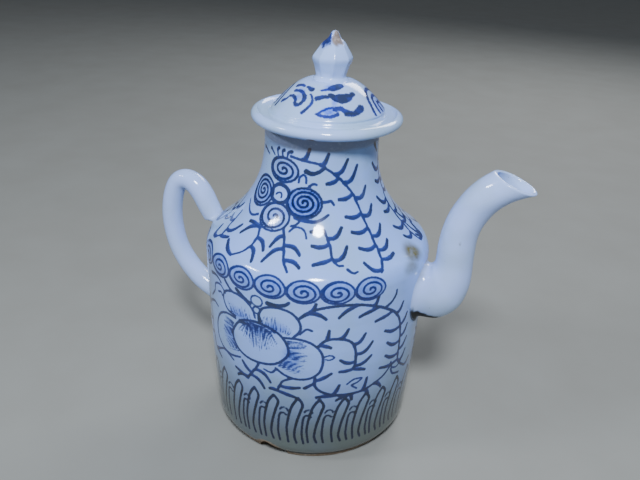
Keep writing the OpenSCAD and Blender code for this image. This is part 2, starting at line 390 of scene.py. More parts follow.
def polar(co):
    # degrees round the axis and distance from it
    return np.degrees(np.arctan2(co[:, 1], co[:, 0])), np.hypot(co[:, 0], co[:, 1])


def movePoints(piece, co):
    piece.data.vertices.foreach_set("co", (co * mm).ravel())
    piece.data.update()


def setLayer(piece, name, values):
    layer = piece.data.attributes.get(name) or piece.data.attributes.new(name, "FLOAT", "POINT")
    layer.data.foreach_set("value", np.asarray(values, np.float32))


def unpainted(piece):
    setLayer(piece, "ink", np.full(len(piece.data.vertices), -1.0))


def softEdge(value, low, high):
    t = np.clip((value - low) / (high - low), 0, 1)
    return t * t * (3 - 2 * t)


# ---- the brush ----
# A mark is one brush stroke: its line as (degrees round the pot, height or radius in mm), the
# brush's half width in mm along it, and how dark the cobalt is along it, from 0 to 1.


handDrawn = np.random.default_rng(11)


def jitter(size):
    return float(handDrawn.uniform(-size, size))


def smoothLine(points, closed=False, fine=6):
    p = np.array(points, float)
    count = len(p)
    place = (lambda i: i % count) if closed else (lambda i: min(max(i, 0), count - 1))
    out = []
    for i in range(count if closed else count - 1):
        a, b, c, d = (p[place(i + k)] for k in (-1, 0, 1, 2))
        for t in np.arange(fine) / fine:
            out.append((2 * b + (c - a) * t + (2 * a - 5 * b + 4 * c - d) * t * t
                        + (3 * b - a - 3 * c + d) * t ** 3) / 2)
    return np.array(out + [p[0] if closed else p[-1]])


def stroke(points, half=0.4, tone=0.7, closed=False):
    halves = half if isinstance(half, tuple) else (half, half)
    tones = tone if isinstance(tone, tuple) else (tone, tone)
    return [{"line": smoothLine(points, closed), "half": halves, "tone": tones}]


def strokes(rows):
    # each row: half width, tone, then the line's points
    return [mark for half, tone, *line in rows for mark in stroke(line, half, tone)]


def vine(stem, tips, half=0.4, tone=0.72, sag=1.5, lean=0, fall=(0.6, 2.2), aside=6):
    # a stem and its comma leaves: each leaf leaves the stem fall mm below its tip, on the left and
    # on the right, aside degrees nearer the stem's middle and lean steps further along it; it hangs
    # by sag mm and ends in a darker blob
    line = smoothLine(stem)
    marks = stroke(stem, (half, half * 0.85), tone)
    for az, z, *bend in tips:
        perDegree = radians(1) * float(potRadius(z))
        beside = line[np.hypot((line[:, 0] - az) * perDegree, line[:, 1] - z).argmin(), 0]
        onRight = int(az > beside or z > line[np.abs(line[:, 0] - az).argmin(), 1])
        below, inward = z - fall[onRight], az + aside * (1 - 2 * onRight)
        nearest = np.hypot((line[:, 0] - inward) * perDegree, line[:, 1] - below).argmin()
        root, along = (line[int(np.clip(nearest + k, 0, len(line) - 1))] for k in (lean, lean + 4))
        drop = bend[0] if bend else sag
        # out level from the stem first, then up or down to the tip
        bow = np.array([root[0] + 0.62 * (az - root[0]), root[1] + 0.12 * (z - root[1]) - drop])
        tip = np.array([az, z])
        leaf = [root * (1 - t) ** 2 + bow * 2 * t * (1 - t) + tip * t * t for t in (0.3, 0.62, 1)]
        marks += stroke([along, root] + leaf, (0.3, 0.58, 0.72, 0.45), (0.3, 0.35, 0.4, 0.7))
        leaf = [point - [0, 0.22] for point in leaf]
        tones = (tone * 0.8, tone, min(1, tone * 1.4))
        marks += stroke([along, root] + leaf, (0.2, 0.3, 0.36, 0.42), tones)
    return marks


def spiral(az, z, wide, tall, turns=3.2, half=0.32, tone=0.55, wash=0.45, start=90):
    # a coiled disc: an outline that winds in to the middle, over a pale wash
    count = int(turns * 22)
    line = []
    for i in range(count + 1):
        share = i / count
        reach = 1 - max(0, share - 1 / turns) / (1 - 1 / turns) * 0.93
        angle = radians(start) + tau * turns * share
        line.append((az + wide * reach * cos(angle), z + tall * reach * sin(angle)))
    marks = [{"line": np.array(line), "half": (half, half * 1.1), "tone": (tone, tone * 1.2)}]
    if wash:
        marks.append({"disc": (az, z, wide, tall), "level": wash})
    return marks


def shade(az, z, wide, tall, level, fade=0.35):
    # a patch of diluted cobalt with a soft edge
    return [{"disc": (az, z, wide, tall), "level": level, "fade": fade}]


def fan(roots, ends, count=20, half=0.2, tone=0.6):
    # fine hairs of uneven length that spread from the base of a petal
    roots, ends = (smoothLine(side, fine=12) for side in (roots, ends))
    marks = []
    for share in np.linspace(0, 1, count):
        a, b = (side[int(share * (len(side) - 1))] for side in (roots, ends))
        b = a + (b - a) * (0.86 + 0.24 * handDrawn.random())
        line = [a, (a + b) / 2 + [jitter(0.4), 0], b]
        marks += stroke(line, (half * 1.5, half, half * 0.5), (tone * 1.3, tone, tone * 0.7))
    return marks


def swung(marks, degrees):
    # the same marks, carried round the pot
    out = []
    for m in marks:
        if "disc" in m:
            az, z, wide, tall = m["disc"]
            out.append({**m, "disc": (az + degrees, z, wide, tall)})
        else:
            out.append({**m, "line": m["line"] + [degrees, 0]})
    return out


def paint(piece, marks, reach, along, outer, brushScale=1.3):
    # lays the marks on the piece's points; reach gives height or radius, along the distance run
    # over the surface there, and outer which points the brush touches
    co = pointsOf(piece)
    az, radius = polar(co)
    run = np.interp(reach(co), *along)
    ink = np.full(len(co), -1.0)
    tone = np.zeros(len(co))
    wash = np.zeros(len(co))
    outerIds = np.nonzero(outer(co))[0]
    a, s, k = az[outerIds], run[outerIds], np.radians(1) * radius[outerIds]
    margin = 2.0
    for mark in marks:
        if "disc" in mark:
            middle, z, wide, tall = mark["disc"]
            off = (a - middle + 180) % 360 - 180
            zRun, up, low = (np.interp(v, *along) for v in (z, z + tall, z - tall))
            far = np.hypot(off / wide, (s - zRun) / (abs(up - low) / 2))
            level = mark["level"] * (1 - softEdge(far, 1 - mark.get("fade", 0.12), 1.04))
            wash[outerIds] = np.maximum(wash[outerIds], level)
            continue
        line = mark["line"]
        base = line[:, 0].mean()
        q, w = line[:, 0] - base, np.interp(line[:, 1], *along)
        off = (a - base + 180) % 360 - 180
        near = (s > w.min() - margin) & (s < w.max() + margin)
        near &= (off > q.min() - margin / k) & (off < q.max() + margin / k)
        ids = np.nonzero(near)[0]
        if not len(ids):
            continue
        kk = k[ids][:, None]
        px, py = (off[ids] * k[ids])[:, None], s[ids][:, None]
        ax, ay = q[:-1] * kk, w[:-1][None]
        dx, dy = (q[1:] - q[:-1]) * kk, (w[1:] - w[:-1])[None]
        t = np.clip(((px - ax) * dx + (py - ay) * dy) / np.maximum(dx ** 2 + dy ** 2, 1e-9), 0, 1)
        gap = np.hypot(px - ax - t * dx, py - ay - t * dy)
        share = (np.arange(len(q) - 1)[None] + t) / (len(q) - 1)
        cover = np.interp(share, np.linspace(0, 1, len(mark["half"])), mark["half"]) * brushScale - gap
        best = cover.argmax(1)
        rows = np.arange(len(ids))
        value = cover[rows, best]
        dark = np.interp(share[rows, best], np.linspace(0, 1, len(mark["tone"])), mark["tone"])
        where = outerIds[ids]
        tone[where] = np.maximum(tone[where], dark * softEdge(value, -0.2, 0.15))
        ink[where] = np.maximum(ink[where], value)
    for name, values in (("ink", ink), ("tone", tone), ("wash", wash)):
        setLayer(piece, name, values)
    return co, az, radius


# ---- what is painted on the pot ----

def scrollBand():
    # coiled discs in a row where the wall meets the shoulder, left out behind spout and handle
    marks = []
    for side in (-1, 1):
        for i in range(8):
            az = side * (43.5 + 16.1 * i)
            marks += spiral(az, 78.9 + jitter(0.15), 7.9, 4.0, 3.1 + jitter(0.2), 0.33, 0.6, 0.7,
                100 + jitter(50))
    return marks


def neckFlower():
    # a rosette of four coiled petals round a ringed eye, with tufts above it
    marks = spiral(-128.5, 104, 14.5, 5.3, 4.2, 0.36, 0.85, 0.55, 60)
    marks += spiral(-83, 103.8, 15.5, 4.9, 4.2, 0.36, 0.85, 1.0, 120)
    marks += spiral(-108, 113.6, 17, 4.3, 3.3, 0.38, 0.8, 0.45, 60)
    marks += spiral(-105.5, 97.8, 13, 4.3, 3.2, 0.36, 0.8, 0.35, 80)
    eye = [(-107 + 9.5 * cos(t), 105.2 + 3.1 * sin(t)) for t in np.arange(10) * tau / 10]
    marks += stroke(eye, 0.6, 0.85, True)
    marks += stroke([(-111, 104.6), (-109, 105.3), (-106, 105.5), (-104.5, 104.8), (-104.8, 104)], 0.3, 0.7)
    marks += shade(-96, 105, 3.5, 3.2, 0.7) + shade(-120, 104, 4, 3.5, 0.7) + shade(-100, 99.8, 6, 1.6, 0.5)
    marks += stroke([(-90, 110.4), (-89.5, 112), (-86, 113.2), (-83.2, 112.3), (-82.8, 110.5)], 0.36, 0.6)
    for root, tip in (((-116, 118.2), (-115, 120.8)), ((-109.5, 118.2), (-108, 120.6)),
            ((-104, 118.4), (-99, 120.7)), ((-121, 117.8), (-127, 119.6)),
            ((-131, 117), (-143, 118.6))):
        bow = ((root[0] + tip[0]) / 2 - 1.5, (root[1] + tip[1]) / 2 + 0.5)
        marks += stroke([root, bow, tip], (0.3, 0.55), (0.6, 0.95))
    marks += stroke([(-90, 99.8), (-86.5, 99.2), (-84.5, 97.9), (-87, 96.6), (-90, 96.2)], 0.38, 0.75)
    marks += vine([(-80, 109.4), (-76, 110.4), (-73, 110.2)], [], 0.42, 0.7)
    marks += strokes([
        ((0.5, 0.4), 0.65, (-68, 104.4), (-63, 104.6), (-60, 104.8), (-57.5, 103.6)),
        ((0.7, 0.4), (0.5, 0.75), (-88, 98.9), (-78, 98.2), (-70, 98.5), (-62.5, 100.4)),
        ((0.45, 0.3), 0.6, (-121, 96.5), (-127, 95.4), (-134, 96.2), (-142, 98.5))])
    return marks


def neckVine():
    # the long feathery vine that hangs from the rosette past the spout
    marks = vine(
        [(-100, 119), (-90, 118.5), (-80, 118), (-72, 117.5), (-65, 116), (-58, 114.3), (-52, 112.4),
         (-46, 110), (-40, 107), (-36, 103), (-34, 99), (-32.5, 95), (-32, 90), (-33, 86.3),
         (-36.5, 83.6)],
        [(-81, 122.6, 0.5), (-63, 121.3, 0.9), (-44, 119, 1.3), (-33, 116.4, 1.7), (-24, 108.2, 1.7),
         (-21.5, 101.6, 1.5), (-20.5, 95.1, 1.0), (-21.5, 90.6, 0.8), (-23, 87, 0.5), (-64, 110.7, 1.7),
         (-53, 105.3, 1.5), (-48.5, 99.7, 1.2), (-46, 95, 1.2), (-44, 90.5, 1.1), (-44, 86.7, 0.9)],
         0.42, 0.7)
    marks += stroke([(-83.5, 114.6), (-78, 113.9), (-72, 114.6), (-66, 116.3)], (0.75, 0.5), (0.95, 0.8))
    marks += vine(
        [(-66, 95.8), (-63.5, 93.5), (-62, 91), (-61.5, 88.6), (-59, 86.8), (-56, 86.6)],
        [(-75, 95.4, 0.5), (-53, 96.6, 0.8), (-73.5, 91.6, 1.0), (-51.5, 91.3, 0.7), (-72, 86.9, 0.9)],
         0.42, 0.7)
    marks += stroke([(-54, 85.6), (-51.5, 84.7), (-49, 84.9)], (0.5, 0.3), 0.7)
    return marks


def smallStems():
    # short stems with drooping leaves between the rosette and the scroll band
    marks = vine(
        [(-95, 95.2), (-92, 92.4), (-90, 89.6), (-88, 87), (-84.5, 84.6)],
        [(-99, 89.8, -0.8), (-80, 89, -1.2), (-99.5, 85.8, -1.0), (-79, 86, -0.8)], 0.45, 0.75,
         fall=(-2.6, -2.6))
    marks += stroke([(-90, 94.6), (-87, 96), (-82, 96), (-79, 95), (-77.5, 93.3)], (0.36, 0.3), 0.62)
    marks += vine(
        [(-113, 93.4), (-110.5, 91), (-111, 88.3), (-114, 86), (-119, 84.2)],
        [(-124.5, 93.8, -0.7), (-125, 89.9, -0.7), (-102, 88.3, -0.8), (-129, 86.7, -0.3),
         (-105, 85, -0.9)], 0.42, 0.72, fall=(-2.2, -2.6))
    marks += vine(
        [(-142, 94), (-141, 91), (-140.5, 89), (-138, 86.5), (-141, 84.3)],
        [(-129, 91.6, 0.6), (-149, 91.2), (-148, 87.2), (-131, 87, -0.3)], 0.4, 0.6)
    marks += vine(
        [(-158, 97), (-156, 93), (-157, 89), (-160, 85.5)],
        [(-167, 94.5), (-148, 95.5), (-167, 90), (-149, 89.8, 0.6), (-168, 86.5)], 0.4, 0.62)
    return marks


def ridgeVine(az):
    # a straight feathered vine down the shoulder, above the spout or the handle
    stem = [(az + 1, 121.5), (az + 3, 117), (az, 111), (az + 2, 105), (az - 1, 99), (az + 1, 93),
        (az, 88), (az + 2, 84.8)]
    tips = [(az - 15, 115.3), (az - 12, 108.4), (az - 16, 103), (az - 14, 97.6), (az - 13, 92.6),
        (az - 10, 89), (az + 17, 116), (az + 15, 109.5), (az + 17, 103.5), (az + 16, 98),
        (az + 15, 92.3), (az + 12, 88.5)]
    marks = vine(stem, tips, 0.42, 0.75)
    return marks + stroke([(az - 11, 122), (az - 8, 120.6), (az - 4, 118.6)], (0.75, 0.35), 0.85)


def lotus():
    # a full-blown lotus: five rounded petals, their bases washed and feathered with fine hairs
    marks = stroke(
        [(-114.5, 54), (-112, 48.6), (-106, 46), (-98, 45.5), (-89, 47), (-83, 51), (-82, 55),
         (-85.5, 60), (-92, 62.6), (-101, 63), (-109, 60.6)], 0.45, 0.85, True)
    marks += fan(
        [(-106, 60.6), (-99, 62), (-91, 61)],
        [(-110.5, 56.5), (-106, 54.6), (-101.5, 52.6), (-97, 51.4), (-92, 52.8), (-87, 56)], 24, 0.16, 0.52)
    marks += shade(-98.5, 60.3, 11, 3.6, 0.7, 0.8)
    marks += strokes([
        (0.3, 0.62, (-108, 61), (-104, 62.6), (-98, 63.6), (-92, 62.4), (-89, 60.8)),
        (0.26, 0.55, (-105, 61.2), (-100, 62.1), (-94, 61.8)),
        ((0.8, 0.4), 0.95, (-108.5, 60.7), (-105.5, 61)),
        (0.4, 0.72, (-112, 61.8), (-118, 62.6), (-121.3, 66), (-119.5, 69.8), (-113, 71.6), (-106, 71),
         (-101, 68.4), (-99.3, 65))])
    marks += shade(-109, 63.4, 10, 3.4, 0.8, 0.8)
    marks += fan([(-115, 62.2), (-102, 63.4)], [(-118, 66.5), (-103, 67.5)], 12, 0.12, 0.4)
    marks += stroke(
        [(-96.4, 63.6), (-97, 67), (-94.5, 70.2), (-88, 71.6), (-81, 70.6), (-77, 67.3), (-76.4, 63.6),
         (-79.5, 60.4)], 0.42, 0.8)
    marks += shade(-88.5, 63, 8.5, 3.6, 0.8, 0.8)
    marks += fan(
        [(-94.5, 62.8), (-88, 62.6), (-82, 61)],
        [(-94.8, 66.8), (-89, 67.8), (-80.6, 63.6)], 13, 0.12, 0.4)
    marks += stroke(
        [(-84, 59.6), (-77, 59.8), (-70.5, 58.2), (-66, 54.5), (-65, 50), (-66.5, 45.6), (-71, 42.7),
         (-77.5, 41.8), (-83.5, 42.8), (-88.5, 45.2)], 0.42, 0.8)
    marks += shade(-80.5, 51, 6.5, 7.4, 0.8, 0.8)
    marks += fan(
        [(-82.5, 58.6), (-82.5, 52), (-87, 46.5)],
        [(-74, 58.4), (-72.5, 51), (-76.5, 44)], 22, 0.14, 0.44)
    marks += stroke(
        [(-112, 60.8), (-119, 60.6), (-126, 57.6), (-130, 52), (-129.5, 46.5), (-125, 43.2),
         (-117.5, 42.4), (-110, 44)], 0.4, 0.72)
    marks += shade(-117.5, 52, 6.5, 7.2, 0.8, 0.8)
    marks += fan(
        [(-113.5, 58.6), (-114.5, 53), (-111, 46.5)],
        [(-121, 59), (-123, 52), (-119, 44.8)], 22, 0.14, 0.44)
    marks += strokes([
        (0.36, 0.6, (-136, 62), (-131, 66), (-129.5, 69.5), (-124, 71), (-119.5, 69)),
        ((0.5, 0.4), 0.75, (-140, 58), (-133, 60.5), (-128, 60)),
        (0.36, 0.65, (-126.5, 67.2), (-123.5, 68), (-122.5, 67))])
    for z, r in ((72.2, 2.1), (68.4, 1.3)):
        ringLine = [(-98.3 + r * 1.5 * cos(t), z + r * sin(t)) for t in np.arange(8) * tau / 8]
        marks += stroke(ringLine, 0.3, 0.66, True)
    marks += strokes([
        ((0.5, 0.8), 0.95, (-97.2, 66.4), (-96.6, 64.6)),
        ((0.75, 0.5), 0.9, (-92.5, 72.6), (-88, 72.4), (-84, 73.2), (-82, 74.4)),
        ((0.7, 0.4), 0.85, (-110.5, 73.6), (-106, 71.8), (-101.5, 70.4)),
        ((0.6, 0.35), 0.8, (-119, 74.6), (-116, 72.6), (-112.5, 71.4)),
        ((0.6, 0.4), 0.75, (-134, 72.6), (-128, 73.6), (-123, 72.2))])
    return marks


def greatScroll():
    # the stem that leaves the lotus, runs round under the scroll band and curls home
    marks = vine(
        [(-77, 68.5), (-73.5, 71), (-68, 73), (-60, 74), (-50, 73.8), (-40, 71.6), (-33.5, 69.2),
         (-28, 66.4), (-24, 62.8), (-21.8, 58), (-20.5, 52), (-20.3, 46), (-19.6, 42), (-16.5, 39),
         (-11.5, 36.2)],
        [(-69.5, 75, 0.4), (-39, 75.2, 0.3), (-22, 69, 0.7), (-17, 62.8, 0.4), (-15, 57, 0.7),
         (-13.5, 50.6, 0.7), (-13, 44.6, 0.7), (-64.5, 68.8, -0.8), (-58.5, 69.3, 0.1),
         (-48.5, 68.6, 0.6), (-39.5, 65.2, 1.1), (-33, 59.6, 0.9), (-30.5, 53.6, 1.0),
         (-30.5, 47.6, 0.8), (-33.5, 42.8, 0.9), (-6, 38, 0.8)], 0.5, 0.82, lean=2)
    marks += strokes([
        ((0.5, 0.4), (0.75, 0.9), (-34, 70), (-30.5, 71.4), (-28.3, 73.6), (-28, 75.6)),
        (0.36, 0.7, (-77, 68.5), (-72, 70.8), (-68, 70.7), (-64.5, 68.9))])
    marks += vine(
        [(-67.5, 57.2), (-64.5, 59.6), (-60, 60.3), (-54, 59.4), (-50.3, 57), (-48.8, 53), (-48.6, 49),
         (-49.6, 46)],
        [(-62.8, 64, 0.1), (-53.5, 64, 0.4), (-44.5, 61, 0.8), (-40, 56.6, 0.9), (-40, 50.4, 0.5),
         (-43, 44.7, 0.4), (-61.5, 56.6, 0.6), (-56.5, 50.8, 0.7), (-56.5, 45.6, 0.7)], 0.5, 0.85,
         lean=2)
    marks += strokes([
        (0.3, 0.62, (-64.5, 52.6), (-61.5, 53.2), (-59.5, 52.2), (-61.5, 51.2), (-63.8, 51.4)),
        ((0.36, 0.4), 0.72, (-76.5, 62), (-73.5, 64.3), (-70.8, 63.8))])
    marks += vine(
        [(-68.5, 42.8), (-68.5, 39.6), (-65.5, 36.8), (-59, 34.8), (-50, 34.2), (-42, 34.6),
         (-36, 36.2), (-30, 38.2), (-26, 40.8)],
        [(-60.5, 45, -1.2), (-56, 39.3, -0.9), (-41, 40.3, 0.4), (-67.5, 33.9, 0), (-57, 32, 0),
         (-48.5, 31.3, 0), (-39, 31.8, 0), (-31, 33.2, 0.2)], 0.5, 0.82, lean=3)
    marks += strokes([
        (0.34, 0.7, (-52, 39.2), (-48.5, 41), (-44, 40.8), (-46.5, 39.2), (-49.5, 38.4), (-46.5, 36.4)),
        (0.36, 0.7, (-25.5, 43), (-24, 40), (-19.5, 38.8), (-15.5, 41)),
        ((0.36, 0.42), 0.72, (-25, 39.5), (-22.5, 36.5), (-17, 35))])
    return marks


def lotusStem():
    # the leafy stem under the lotus
    marks = vine(
        [(-98, 45), (-100, 42), (-103, 38.6), (-105.5, 35.8)],
        [(-108.5, 43, -0.8), (-114, 38, -1.2), (-112.5, 35, -0.8), (-91.5, 38, -1.6),
         (-95, 34.2, -1.2)], 0.45, 0.78, fall=(-2.4, -2.4))
    marks += vine([(-88.5, 44.5), (-91, 42.6), (-95, 43.2)], [], 0.4, 0.7)
    marks += vine(
        [(-80, 41.8), (-84.5, 40), (-86.5, 37.2), (-87.5, 34.8)],
        [(-76, 38, 0.3), (-77.5, 33, 0.7), (-92, 35, -0.6)], 0.42, 0.75)
    marks += stroke([(-73.5, 38), (-70.5, 39.6), (-68.3, 40.8)], (0.6, 0.4), 0.9)
    marks += vine(
        [(-142, 60), (-139, 52), (-138, 45), (-134, 38.5), (-124, 42.2), (-115.5, 40.6)],
        [(-148, 57, 0.8), (-146, 50, 0.7), (-146, 43.5, 0.7), (-128, 36.6, 0.7)], 0.44, 0.72)
    return marks


def sideSprig(az):
    # leaves that fill the wall below the spout and below the handle
    return vine([(az + 2, 51), (az - 2, 46.5), (az + 1, 42), (az - 1, 37.5), (az + 2, 34.6)],
        [(az - 11, 49), (az - 12, 43.5), (az - 10, 38), (az + 12, 47.5), (az + 12, 42),
        (az + 10, 36.6)], 0.42, 0.72, lean=1)


def lappets(count=30, firstAz=-113):
    # slanting pointed tongues round the foot, with hooked lines between them
    marks = []
    for i in range(count):
        t = firstAz + 360 / count * i + jitter(0.8)
        tip = 32.8 + jitter(0.8)
        foot = 10.3 + jitter(0.4)
        marks += strokes([
            ((0.5, 0.36), (0.95, 0.75), (t, tip), (t - 3, 29), (t - 4.8, 24), (t - 6, 17), (t - 5, foot)),
            ((0.5, 0.38), (0.95, 0.8), (t, tip), (t + 2.4, 29.8), (t + 1.2, 26), (t - 0.8, 20),
             (t - 1.8, 14), (t - 0.4, foot)),
            ((0.36, 0.38), (0.65, 0.8), (t + 7, 23.8), (t + 5, 24.7), (t + 3.2, 23.6), (t + 2.5, 19.5),
             (t + 2.3, 14.5), (t + 3.4, foot)),
            (0.34, 0.65, (t + 3.4, 26), (t + 4.6, 27.3), (t + 6.8, 27.2), (t + 7.8, 25.9))])
    return marks


wallSide = lotus() + greatScroll() + lotusStem()
neckSide = neckFlower() + neckVine() + smallStems()
potMarks = scrollBand() + lappets() + wallSide + swung(wallSide, 180) + neckSide + swung(neckSide, 176)
potMarks += sideSprig(12) + sideSprig(-168) + ridgeVine(5) + ridgeVine(182)
print(len(potMarks), "brush marks on the pot")

# ---- the pot's wall, floor and foot ----

potRun = np.linspace(pot["footZ"], pot["rimZ"], 900)
slope = np.gradient(potRadius(potRun), potRun)
potAlong = (potRun, np.concatenate([[0], np.cumsum(np.hypot(1, slope)[1:] * np.diff(potRun))]))

flakeShape = {"az": -93, "wide": 6.3, "tall": 7.0, "deep": 5.2}  # what a knock took off the foot
strainer = {"holeR": 1.6, "pitch": 5.0, "ring": 6, "z": pot["topZ"] - 11.3}


def outerSkin(slack=0.9):
    return lambda co: np.hypot(co[:, 0], co[:, 1]) > potRadius(co[:, 2]) - slack


def flakeCutter():
    f = flakeShape
    bm = bmesh.new()
    bmesh.ops.create_icosphere(bm, subdivisions=5, radius=1)
    for v in bm.verts:
        x, y, z = v.co
        rough = 1 + 0.05 * sin(7 * x + 3 * z) + 0.04 * sin(13 * y + 5 * x)
        rough += 0.02 * sin(31 * z + 17 * y)
        v.co = Vector((x * f["wide"] - 0.22 * f["wide"] * z, y * f["deep"], z * f["tall"])) * rough
    turn = Matrix.Rotation(radians(f["az"] + 90), 4, "Z")
    place = turn @ Matrix.Translation((0, -pot["footR"] - 0.9, 0))
    bmesh.ops.transform(bm, matrix=Matrix.Scale(mm, 4) @ place, verts=bm.verts)
    return looseObject("flakeCutter", bm)


def strainerCutter(dy, dz):
    bm = bmesh.new()
    bmesh.ops.create_cone(bm, cap_ends=True, segments=40, radius1=strainer["holeR"] * mm,
                          radius2=strainer["holeR"] * mm, depth=14 * mm)
    place = Matrix.Translation(Vector((pot["topR"], dy, strainer["z"] + dz)) * mm)
    lie = place @ Matrix.Rotation(pi / 2, 4, "Y")
    bmesh.ops.transform(bm, matrix=lie, verts=bm.verts)
    return looseObject("strainerCutter", bm)


def inFlake(co):
    # 1 on the broken face and 0 away from it; the face takes the dark fired-clay colour, darker than its
    # paler broken body, so it is partly painted shade
    f = flakeShape
    turn = radians(-90 - f["az"])
    x = co[:, 0] * cos(turn) - co[:, 1] * sin(turn)
    y = co[:, 0] * sin(turn) + co[:, 1] * cos(turn) + pot["footR"] + 0.9
    z = co[:, 2]
    x = x + 0.22 * f["wide"] * z / f["tall"]
    far = np.sqrt((x / f["wide"]) ** 2 + (y / f["deep"]) ** 2 + (z / f["tall"]) ** 2)
    return 1 - softEdge(far, 1.09, 1.2)


def makeWall():
    p = pot
    inner = p["heelR"] - p["wall"]
    heel = arc(p["footR"], p["heelZ"], p["heelR"] - p["footR"], p["heelRise"], -pi / 2, 0, 12)
    zs = steps(p["heelZ"], 34, 0.78)[1:] + steps(34, 72.5, 0.5)[1:] + steps(72.5, p["topZ"], 0.34)[1:]
    inside = steps(p["topZ"], p["heelZ"] + 2, 7)
    soft, floorZ = p["floorFillet"], p["footZ"] + p["floor"]
    fillet = arc(inner - soft, floorZ + soft, soft, soft, 0, -pi / 2, 7)
    outline = [(0, p["footZ"]), (15, p["footZ"]), (p["footR"] - 8, p["footZ"])] + heel
    outline += [(float(potRadius(z)), z) for z in zs]
    outline += [(float(potRadius(z, p["wall"])), z) for z in inside]
    outline += fillet + [(15, floorZ), (0, floorZ)]
    piece = addPiece("potWall", spun(outline, p["columns"]), "pot", ["pot_wall"], potGlaze)
    holes = [(0, 0)] + [(strainer["pitch"] * sin(a), strainer["pitch"] * cos(a))
                        for a in np.arange(strainer["ring"]) * tau / strainer["ring"]]
    cut(piece, [flakeCutter()] + [strainerCutter(*h) for h in holes])
    finishPot(piece)
    print("wall cut and painted,", len(piece.data.polygons), "faces")


def finishPot(piece):
    # paint, flake, painted shadow under the spout's root and stain, then the thrower's unevenness
    co, az, radius = paint(piece, potMarks, lambda c: c[:, 2], potAlong, outerSkin())
    z = co[:, 2]
    outside = radius > potRadius(z) - 0.9
    around = np.radians(az)
    # under the lid's brim the neck is half clay-coloured: partly its unglazed rim, partly painted shade from
    # the brim
    neckBareAndBrimShade = softEdge(z + 0.3 * np.sin(3 * around) + 0.15 * np.sin(11 * around), 121.2, 122.6)
    setLayer(piece, "bare", np.maximum(inFlake(co), 0.5 * neckBareAndBrimShade))
    patch = 1 - softEdge(np.hypot((az + 9.5) / 9, (z - 84.6) / 3.6), 0.3, 1.15)
    tail = 0.7 * (1 - softEdge(np.hypot((az + 16) / 8, (z - 81.3) / 3.2), 0.2, 1.1))
    setLayer(piece, "stain", outside * np.maximum(patch, tail))
    # painted shadow: a thin near-black line along the spout's root, where its underside meets the wall
    y = np.radians(az) * 43
    root = np.hypot(y / 11.2, (z - 66.7) / 13.1)
    lower = softEdge(64 - z, 0, 3) * softEdge(-y, -1.5, 2.5) * (np.abs(az) < 60)
    setLayer(piece, "paintedShadowAndSpecks", outside * lower * (1 - softEdge(np.abs(root - 0.99), 0.015, 0.065)))
    handMade(piece, co, az, radius)


def handMade(piece, co, az, radius):
    push = unevenness(np.radians(az), co[:, 2]) * np.clip(radius / 20 - 0.5, 0, 1)
    wider = (radius + push) / np.maximum(radius, 1e-6)
    movePoints(piece, co * np.stack([wider, wider, np.ones(len(wider))], 1))


def makeShoulder():
    p = pot
    turn = radians(p["cornerTurn"])
    corner = [p["topZ"] + p["cornerR"] * sin(t) for t in np.linspace(0, turn, 24)]
    low, high = (potAlong[1][potRun.searchsorted(p[key])] for key in ("shoulderZ", "neckZ"))
    slant = list(np.interp(steps(low, high, 0.47), potAlong[1], potRun))
    upright = steps(p["neckZ"], p["rimZ"] - 1, 0.5)
    outer = [(float(potRadius(z)), float(z)) for z in corner + slant[1:] + upright[1:]]
    lip = [(p["neckR"] - p["wall"] / 2 + p["wall"] / 2 * copysign(abs(cos(t)) ** 0.7, cos(t)),
            p["rimZ"] - 1 + sin(t)) for t in np.linspace(0, pi, 11)[1:-1]]
    inside = [(float(potRadius(z, p["wall"])), z) for z in
              steps(p["rimZ"] - 1, p["neckZ"], 2) + steps(p["neckZ"], p["shoulderZ"], 3)[1:]]
    bend = p["cornerR"] - p["wall"]
    inward = arc(p["topR"] - p["cornerR"], p["topZ"], bend, bend, turn, 0, 6)[1:]
    piece = addPiece("shoulderAndNeck", spun(outer + lip + inside + inward, p["columns"]), "pot",
                     ["shoulder_neck"], potGlaze)
    finishPot(piece)
    print("shoulder painted")


def makeFootRing():
    p = {"width": 5.6, "edge": 0.9, "columns": 360}
    high, out = pot["footZ"], pot["footR"]
    inner = out - p["width"]
    edge = p["edge"]
    outline = [(inner, high), (inner, 0.6), (inner + 0.6, 0)]
    outline += [(r, 0) for r in steps(inner + 1.4, out - 1.4, 0.8)]
    outline += arc(out - edge, edge, edge, edge, -pi / 2, 0, 7)
    outline += [(out, z) for z in steps(1.3, high, 0.4)]
    piece = addPiece("footRing", spun(outline, p["columns"]), "pot", ["foot_ring"], potGlaze)
    cut(piece, [flakeCutter()])
    co = pointsOf(piece)
    az, radius = polar(co)
    unpainted(piece)
    wiped = 1.5 + 0.25 * np.sin(np.radians(5 * az)) + 0.15 * np.sin(np.radians(17 * az + 40))
    glazed = softEdge(co[:, 2], wiped - 0.25, wiped + 0.25) * (radius > out - 0.7)
    setLayer(piece, "bare", np.maximum(1 - glazed, inFlake(co)))
    handMade(piece, co, az, radius)


makeWall()
makeShoulder()
makeFootRing()

# ---- spout and handle ----

# Each row: inner edge out and up from the root's middle, outer edge out and up, half width
spoutShape = {
    "rows": [
        (2, 11, 2, -10.8, 9), (2.9, 11.6, 7.4, -10.3, 8.9), (3.7, 12.8, 12.2, -7.4, 8.3),
        (4.1, 14.3, 15.9, -2.1, 7.6), (4.2, 17, 17.8, 6, 7), (4.4, 21.8, 17.8, 16.7, 6.7),
        (5.2, 27.6, 18, 23.8, 6.7), (6.6, 33, 18.9, 28.5, 6.7), (8.8, 38, 20.9, 33.1, 6.7),
        (11.9, 43.2, 24.3, 38.1, 6.7), (15.7, 47.7, 29.2, 42.2, 6.6), (19.8, 51.1, 35.3, 45.2, 6.3)],
    "wall": 2.2, "lip": 1.5, "spread": 1.7, "around": 120, "fine": 8,
}
